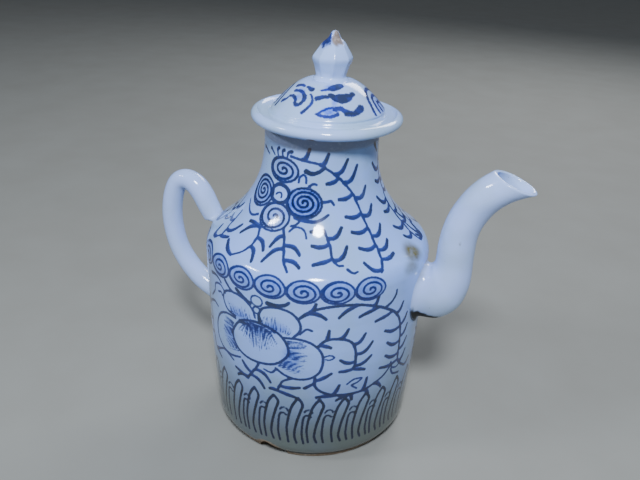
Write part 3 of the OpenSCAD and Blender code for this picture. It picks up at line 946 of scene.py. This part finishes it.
# Each row: how far out, as a share of the reach, and how far up, as a share of the span
handleShape = {
    "rows": [(0.13, 1.06), (0.23, 1.18), (0.36, 1.33), (0.51, 1.43), (0.68, 1.46), (0.84, 1.4), (0.95, 1.23),
             (1, 0.99), (0.97, 0.75), (0.87, 0.53), (0.68, 0.33), (0.42, 0.16), (0.1, 0.035)],
    "reach": 22.8, "span": 34.6, "lowZ": 43.6, "r": 4.2, "spread": 1.9, "around": 64, "fine": 7,
}


def ellipse(p, q, halfWide, around):
    # a ring of points from its two ends in the XZ plane and its half width across
    t = np.arange(around) * tau / around
    middle, arm = (np.array(p) + q) / 2, (np.array(p) - q) / 2
    return np.stack([middle[0] + arm[0] * np.cos(t), halfWide * np.sin(t), middle[1] + arm[1] * np.cos(t)], 1)


def ontoPot(ring, side, lift=0.0):
    x = side * (np.sqrt(np.clip(potRadius(ring[:, 2]) ** 2 - ring[:, 1] ** 2, 0, None)) + lift)
    return np.stack([x, ring[:, 1], ring[:, 2]], 1)


def rootFillet(grown, side, spread, count=9):
    # rings that run the slip out on to the pot in a hollow curve; grown(s) is the first ring of
    # the spout or handle, made s mm larger
    rings = [ontoPot(grown(spread * 0.9), side, -0.9)]
    for t in np.linspace(0, pi / 2, count):
        ring = grown(spread * (1 - sin(t)))
        seat = ontoPot(ring, side, 0.02)
        rings.append(seat + (ring - seat) * (1 - cos(t)))
    return rings[:-1]


def makeSpout():
    p = spoutShape
    start = np.array([float(potRadius(strainer["z"])), strainer["z"]])
    rows = smoothLine(p["rows"], fine=p["fine"])

    def ringAt(row, inset):
        a, b = start + row[0:2], start + row[2:4]
        inward = (b - a) / np.linalg.norm(b - a) * inset
        return ellipse(a + inward, b - inward, row[4] - inset, p["around"])

    outer = [ringAt(row, 0) for row in rows]
    count = len(rows)
    thick = np.interp(np.arange(count), [0, count * 0.8, count - 1], [p["wall"], p["wall"], p["lip"]])
    inner = [ringAt(row, w) for row, w in zip(rows, thick)]
    ahead = outer[-1].mean(0) - outer[-3].mean(0)
    ahead /= np.linalg.norm(ahead)
    lip = []
    for t in np.linspace(0, pi, 9)[1:-1]:
        ring = outer[-1] + (inner[-1] - outer[-1]) * (1 - cos(t)) / 2
        lip.append(ring + ahead * sin(t) * p["lip"] * 0.45)
    foot = rootFillet(lambda s: ringAt(rows[0], -s), 1, p["spread"])
    back = [ontoPot(inner[0], 1, 0.3), ontoPot(inner[0], 1, -0.9)]
    rings = foot + outer + lip + inner[::-4] + back + [foot[0]]
    piece = addPiece("pouringSpout", lofted(rings), "pot", ["spout", "spout_lute"],
                     plainGlaze, 60)
    co = pointsOf(piece)
    off = co[:, 0] - np.sqrt(np.clip(potRadius(co[:, 2]) ** 2 - co[:, 1] ** 2, 0, None))
    up = co[:, 2] - strainer["z"]
    near = 1 - softEdge(off, 0.2, 2.6)
    # painted shadow on the spout's underside, at its root and along its lower edge
    paintedShadowAndSpecks = (1 - softEdge(off, 0.35, 0.95)) * softEdge(-up, 2.5, 6) * softEdge(-co[:, 1], -1, 2)
    belly = up - np.interp(off, [0, 2, 7.4, 12.2], [-12, -11, -10.3, -7.4])
    under = 1 - softEdge(belly + 0.5 * off + 0.2 * np.sin(2.5 * off), 6.2, 6.9)
    under *= (1 - softEdge(off, 8, 10)) * softEdge(-co[:, 1], -1, 1)
    setLayer(piece, "paintedShadowAndSpecks", np.maximum(paintedShadowAndSpecks, under) * (up < 0))
    unpainted(piece)
    creases = near * softEdge(up, 5, 10) * 0.55
    spots = sum(0.9 * (1 - softEdge(np.linalg.norm(co - spot, axis=1), 0.3, 0.75))
                for spot in ((59.5, -5.4, 62.5), (56.3, -6.9, 91.5), (50.8, -4.8, 100.5)))
    setLayer(piece, "stain", np.clip(creases + spots, 0, 1))
    wave = 0.1 * np.sin(co[:, 2] / 3.1 + 1) + 0.07 * np.sin(co[:, 2] / 1.7 + co[:, 1] / 3)
    co[:, 1] += wave * softEdge(off, 2, 8)
    movePoints(piece, co)


def makeHandle():
    p = handleShape
    places = [(-pot["topR"] - a * p["reach"], p["lowZ"] + b * p["span"]) for a, b in p["rows"]]
    line = smoothLine(places, fine=p["fine"])
    heading = np.gradient(line, axis=0)
    across = np.stack([heading[:, 1], -heading[:, 0]], 1) / np.linalg.norm(heading, axis=1)[:, None]
    share = np.linspace(0, 1, len(line))
    thick = p["r"] * (1 + 0.03 * np.sin(9 * share) - 0.03 * np.cos(15 * share + 1))

    def ringAt(i, grow=0.0):
        r = thick[i] + grow
        return ellipse(line[i] + across[i] * r, line[i] - across[i] * r, r, p["around"])

    last = len(line) - 1
    top = rootFillet(lambda s: ringAt(0, s), -1, p["spread"])
    low = rootFillet(lambda s: ringAt(last, s), -1, p["spread"])
    closed = [np.repeat(r[0].mean(0)[None], p["around"], 0) for r in (top, low)]
    rings = [closed[0]] + top + [ringAt(i) for i in range(last + 1)] + low[::-1] + [closed[1]]
    piece = addPiece("loopHandle", lofted(rings), "pot", ["handle", "handle_upper_lute", "handle_lower_lute"],
                     plainGlaze, 60)
    co = pointsOf(piece)
    off = np.sqrt(np.clip(potRadius(co[:, 2]) ** 2 - co[:, 1] ** 2, 0, None)) * -1 - co[:, 0]
    setLayer(piece, "stain", 0.3 * (1 - softEdge(off, 0.1, 1.6)))
    unpainted(piece)


makeSpout()
makeHandle()

# ---- the lid ----

lid = {
    "x": (brimLow.x + brimHigh.x) / 2, "brimR": (brimHigh.x - brimLow.x) / 2, "brimZ": brimLow.z, "brim": 3.9,
    "dishWide": 7.2, "dip": 0.9, "rise": 1.0, "topZ": brimHigh.z, "waist": 7.1, "thick": 3.2, "power": 0.62,
    "flangeR": (flangeHigh.x - flangeLow.x) / 2, "flange": 2.6, "columns": 420,
    "lean": 0.55, "slide": 0.7,  # degrees that it leans on the neck, and mm that the dome sits off the brim
}
lid["domeR"] = lid["brimR"] - lid["dishWide"]
lid["domeZ"] = lid["brimZ"] + lid["brim"] + lid["rise"]


def domeR(z):
    t = np.clip((np.asarray(z, float) - lid["domeZ"]) / (lid["topZ"] - lid["domeZ"]), 0, 1)
    return lid["waist"] + (lid["domeR"] - lid["waist"]) * (1 - t) ** lid["power"]


def lidMarks():
    # bold loose strokes: a flower with a dark heart on two sides, and nested bows between
    middle = stroke([(-84, 18.5), (-76, 18.9), (-68, 18.9), (-61, 18.2)], (0.35, 0.5), 0.75)
    middle += stroke([(-82, 18.3), (-75, 17.2), (-67, 16.6), (-62, 17.4)], 0.35, 0.6)
    middle += shade(-71, 17.6, 10, 1.3, 0.9, 0.5) + shade(-64, 15.4, 6, 2, 0.6, 0.8)
    middle += strokes([
        ((0.6, 0.75), 0.8, (-64, 17), (-57, 16.8), (-52, 17.6), (-46, 18.1)),
        ((0.5, 1.0), 0.95, (-52, 18.3), (-45, 18.4), (-38, 17.9), (-31, 17.1)),
        ((0.75, 0.45), 0.9, (-88, 14.3), (-81, 13.7), (-74, 13.5), (-68, 12.9)),
        ((0.8, 1.1), 0.98, (-69, 13), (-61, 14), (-52, 14.5), (-43, 13.5)),
        ((0.9, 0.7), 0.98, (-58, 13.4), (-49, 13.2)),
        ((0.4, 0.75), 0.92, (-44, 13.8), (-38, 13.4), (-33, 12.7)),
        ((0.35, 0.9), (0.6, 0.95), (-86, 11.4), (-74, 10.8), (-64, 10.6), (-54, 9.6)),
        ((0.7, 1.1), 0.95, (-70, 10.2), (-60, 9.4), (-50, 8.9))])
    middle += shade(-70, 9.8, 18, 1.8, 0.8, 0.8)
    middle += strokes([
        ((0.5, 0.3), 0.75, (-100, 18.7), (-96, 17.4), (-93, 15.9), (-95, 14.4), (-100, 13.4)),
        ((0.35, 0.75), 0.9, (-117, 11), (-110, 11.2), (-103, 11.7))])
    left = stroke(
        [(-133, 15.6), (-126, 15.2), (-119, 15.8), (-114, 17.1), (-108.5, 16.9), (-105.5, 15.4),
         (-108, 14.2)], (0.45, 0.6), 0.88)
    left += stroke([(-133, 13.6), (-123, 13.1), (-114, 13.4), (-108, 14.4)], 0.5, 0.85)
    left += shade(-116, 15, 9, 1.5, 0.8, 0.7) + shade(-121, 13, 14, 1.6, 0.6, 0.8)
    left += strokes([
        ((0.7, 0.35), 0.85, (-141, 12), (-132, 11), (-122, 11.2)),
        ((0.6, 0.4), 0.85, (-140, 17.6), (-136, 17), (-134, 16.2))])
    bows = []
    for az in (10, -172):
        for wide, deep, half in ((24, 12.9, 0.55), (14, 15.1, 0.5), (5.5, 17.1, 0.45)):
            bows += stroke(
                [(az - wide, 19.4), (az - wide * 0.98, 18), (az - wide * 0.8, (deep + 18) / 2 - 0.4),
                 (az - wide * 0.35, deep + 0.15), (az + wide * 0.35, deep + 0.15),
                 (az + wide * 0.8, (deep + 18) / 2 - 0.4), (az + wide * 0.98, 18), (az + wide, 19.4)],
                 half, 0.85)
        bows += shade(az, 18, 22, 5, 0.6, 0.8)
    flower = middle + left
    return flower + swung(flower, 178) + bows


def lean(co):
    # tips the lid about the edge of the neck on the spout's side
    turn = radians(lid["lean"])
    x, z = co[:, 0] - pot["neckR"], co[:, 2] - lid["brimZ"]
    tipped = co.copy()
    tipped[:, 0] = pot["neckR"] + x * cos(turn) + z * sin(turn)
    tipped[:, 2] = lid["brimZ"] - x * sin(turn) + z * cos(turn)
    return tipped


def makeLidCover():
    p = lid
    half = p["brim"] / 2
    inner = p["flangeR"] - p["flange"]
    dipZ = p["brimZ"] + p["brim"] - p["dip"]
    wide = half * 1.15
    edge = arc(p["brimR"] - wide, p["brimZ"] + half, wide, half, -pi / 2, pi / 2, 26)
    dish = [(r, dipZ + 0.5 * p["dip"] * ((r - p["domeR"] - 2.6) / 3) ** 2 * (r > p["domeR"] + 2.6))
            for r in steps(p["brimR"] - half * 1.2 - 0.6, p["domeR"] + 1.1, 0.5)]
    step = [(p["domeR"] + 0.85, dipZ + 0.15), (p["domeR"] + 0.6, dipZ + 0.5), (p["domeR"] + 0.5, dipZ + 0.9),
            (p["domeR"] + 0.25, dipZ + 1.25)]
    shares = 1 - (1 - np.linspace(0, 1, 46)) ** 1.25
    dome = [(float(domeR(z)), float(z)) for z in p["domeZ"] - 0.4 + shares * (p["topZ"] - p["domeZ"] + 0.4)]
    under = [(p["thick"] + (inner - p["thick"]) * (1 - t) ** p["power"],
              p["domeZ"] - 0.6 * p["thick"] + (p["topZ"] - 0.4 * p["thick"] - p["domeZ"]) * t)
             for t in np.linspace(1, 0, 12)]
    outline = [(0, p["topZ"])] + dome[::-1] + step[::-1] + dish[::-1] + edge[::-1]
    outline += [(r, p["brimZ"]) for r in steps(p["brimR"] - wide - 1, inner, 1.6)]
    outline += under[::-1] + [(0, under[0][1])]
    piece = addPiece("lidCover", spun(outline, p["columns"]), "lid", ["lid_cover"],
                     lidGlaze, 50)
    rs = np.linspace(0, p["brimR"], 300)
    top = np.interp(rs, [r for r, z in dome[::-1]], [z for r, z in dome[::-1]])
    run = (rs, np.concatenate([[0], np.cumsum(np.hypot(np.diff(rs), np.diff(top)))]))

    def onDome(co):
        return (co[:, 2] > p["domeZ"] - 0.6) & (polar(co)[1] > domeR(co[:, 2]) - 1.2)

    co, az, radius = paint(piece, lidMarks(), lambda c: polar(c)[1], run, onDome, 1.45)
    z = co[:, 2]
    nick = np.hypot((az + 81) / 6, (z - p["brimZ"]) / 1.1) + np.where(radius > p["brimR"] - 3.4, 0, 9)
    setLayer(piece, "bare", np.maximum((z < p["brimZ"] + 0.05) * (radius < p["brimR"] - half * 1.6) * 0.9,
                                       1 - softEdge(nick, 0.5, 1.0)))
    wobble = 1 + 0.004 * np.sin(2 * np.radians(az) + 1) + 0.002 * np.sin(5 * np.radians(az))
    co[:, 0:2] *= wobble[:, None]
    co[:, 2] += 0.12 * np.sin(2 * np.radians(az) + 2) * softEdge(radius, 15, 27)
    toSpout = softEdge(z, p["domeZ"] - 0.5, p["domeZ"] + 0.6) * (radius < p["domeR"] + 1) * p["slide"]
    co[:, 0] += p["x"] + toSpout
    movePoints(piece, lean(co))


def makeLidFlange():
    p = lid
    out, inner = p["flangeR"], p["flangeR"] - p["flange"]
    low, high = flangeLow.z, flangeHigh.z
    soft = 0.7
    outline = [(out, z) for z in steps(high, low + soft, 0.8)]
    outline += arc(out - soft, low + soft, soft, soft, 0, -pi / 2, 6)[1:]
    outline += arc(inner + soft, low + soft, soft, soft, pi * 1.5, pi, 6)
    outline += [(inner, z) for z in steps(low + soft, high, 0.8)[1:]]
    piece = addPiece("lidFlange", spun(outline, 240), "lid", ["lid_flange"], flangeClay)
    co = pointsOf(piece)
    az = np.arctan2(co[:, 1], co[:, 0])
    co[:, 0:2] *= (1 + 0.006 * np.sin(2 * az + 1) + 0.003 * np.sin(co[:, 2] * 2.4))[:, None]
    co[:, 0] += p["x"]
    movePoints(piece, lean(co))


def makeLidKnob():
    base = lid["topZ"]
    tall = knobHigh.z - knobLow.z
    wide = (knobHigh.x - knobLow.x) / 2
    p = {"waist": 5.4, "flare": 1.7, "budShare": 0.43, "tip": 1.5, "facets": 8, "lean": 2.6, "columns": 144}
    bud = p["budShare"] * tall
    rows = [(p["waist"] + p["flare"], -0.9), (p["waist"] + p["flare"] * 0.45, 0.3), (p["waist"] + 0.1, 1.1),
            (p["waist"] + 0.1, 1.9), (p["waist"] + 0.55, 3.4), (wide - 0.6, bud - 2),
            (wide - 0.15, bud - 0.8), (wide, bud), (wide - 0.15, bud + 0.8), (wide * 0.86, bud + 2.3),
            (wide * 0.7, bud + 4), (wide * 0.52, bud + 5.7), (p["tip"] + 0.7, tall - 2.5),
            (p["tip"], tall - 1.1), (p["tip"] * 0.6, tall - 0.3)]
    outline = [(0, base - 0.9)] + [(r, base + z) for r, z in smoothLine(rows, fine=5)] + [(0, base + tall)]
    piece = addPiece("lidKnob", spun(outline, p["columns"]), "lid", ["lid_knob"], lidGlaze, 50)
    co = pointsOf(piece)
    degrees, z = polar(co)[0], co[:, 2] - base
    az, facet = np.radians(degrees), tau / p["facets"]
    flat = cos(facet / 2) / np.cos((az + 0.35) % facet - facet / 2)
    bite = softEdge(z, 0.8, 3.5) * (1 - softEdge(z, tall - 4.5, tall - 1)) * 0.8
    co[:, 0:2] *= (1 + (flat - 1) * bite + 0.012 * np.sin(2 * az + z) * bite)[:, None]
    smear = np.hypot(((degrees + 132 + 180) % 360 - 180) / 42, (z - 13.7) / 2.5)
    setLayer(piece, "ink", 0.9 - smear + 0.15 * np.sin(7 * az + 2 * z))
    setLayer(piece, "tone", np.full(len(co), 0.9))
    setLayer(piece, "wash", 0.6 * (1 - softEdge(smear, 0.7, 1.5)))
    chip = np.hypot(((degrees + 40 + 180) % 360 - 180) / 62, (z - 15.1) / 3.3) + 0.08 * np.sin(7 * az + 2 * z)
    broken = 1 - softEdge(chip, 0.75, 1.0)
    setLayer(piece, "bare", broken * 0.9)
    # dark specks in the broken chip
    setLayer(piece, "paintedShadowAndSpecks", broken * 0.4 * np.clip(np.sin(9 * az + 2 * z) + np.sin(4 * z + 3 * az), 0, 1))
    co[:, 0:2] *= (1 - 0.13 * broken)[:, None]
    turn = radians(p["lean"])
    co = co - [0, 0, base]
    swing = softEdge(co[:, 2], 0, 3) * turn
    co = np.stack([co[:, 0] + co[:, 2] * swing, co[:, 1], co[:, 2]], 1)
    co = co + [lid["x"] + lid["slide"], 0, base]
    movePoints(piece, lean(co))


makeLidCover()
makeLidFlange()
makeLidKnob()
print("lid made")

# ---- table and light ----


# Matt card table, pale and plain: it gives the eye nothing but a soft bounce from below.
def paleTable(name):
    material = newMaterial(name)
    tree = material.node_tree
    place = addNode(tree, "TexCoord").outputs["Object"]
    cloud = addNode(tree, "TexNoise", None, {"Vector": place, "Scale": perMm(40), "Detail": 4.0})
    colour = rampBetween(tree, cloud.outputs["Fac"], [(0.3, "#82827a"), (0.7, "#898a83")])
    addSkin(tree, colour=colour, rough=0.75, ior=1.45)
    return material


def makeTable():
    bm = bmesh.new()
    bmesh.ops.create_grid(bm, x_segments=4, y_segments=4, size=4)
    table = looseObject("table", bm)
    table.data.materials.append(paleTable("paleCard"))


def softLamp(name, place, aim, size, power, colour="#ffffff"):
    # size is the lamp's width and height
    data = bpy.data.lights.new(name, "AREA")
    data.shape = "ELLIPSE"
    data.size, data.size_y = size
    data.energy = power
    data.color = sRgb(colour)[:3]
    lamp = bpy.data.objects.new(name, data)
    bpy.context.scene.collection.objects.link(lamp)
    lamp.location = place
    lamp.rotation_euler = (Vector(aim) - Vector(place)).to_track_quat("-Z", "Y").to_euler()


def makeLight():
    world = bpy.data.worlds.new("paleRoom")
    world.use_nodes = True
    world.node_tree.nodes["Background"].inputs["Color"].default_value = sRgb("#c4ccda")
    world.node_tree.nodes["Background"].inputs["Strength"].default_value = 0.25
    bpy.context.scene.world = world
    softLamp("key", (0.145, -0.40, 0.55), (0, 0, 0.09), (0.11, 0.11), 6.4, "#e9f0ff")
    softLamp("leftStrip", (-0.62, -0.48, 0.62), (0, 0, 0.08), (0.22, 0.05), 3.6, "#e6eeff")
    softLamp("back", (0.1, 0.75, 0.62), (0, 0, 0.06), (0.5, 0.3), 5.0, "#f4f6ff")


makeTable()
makeLight()
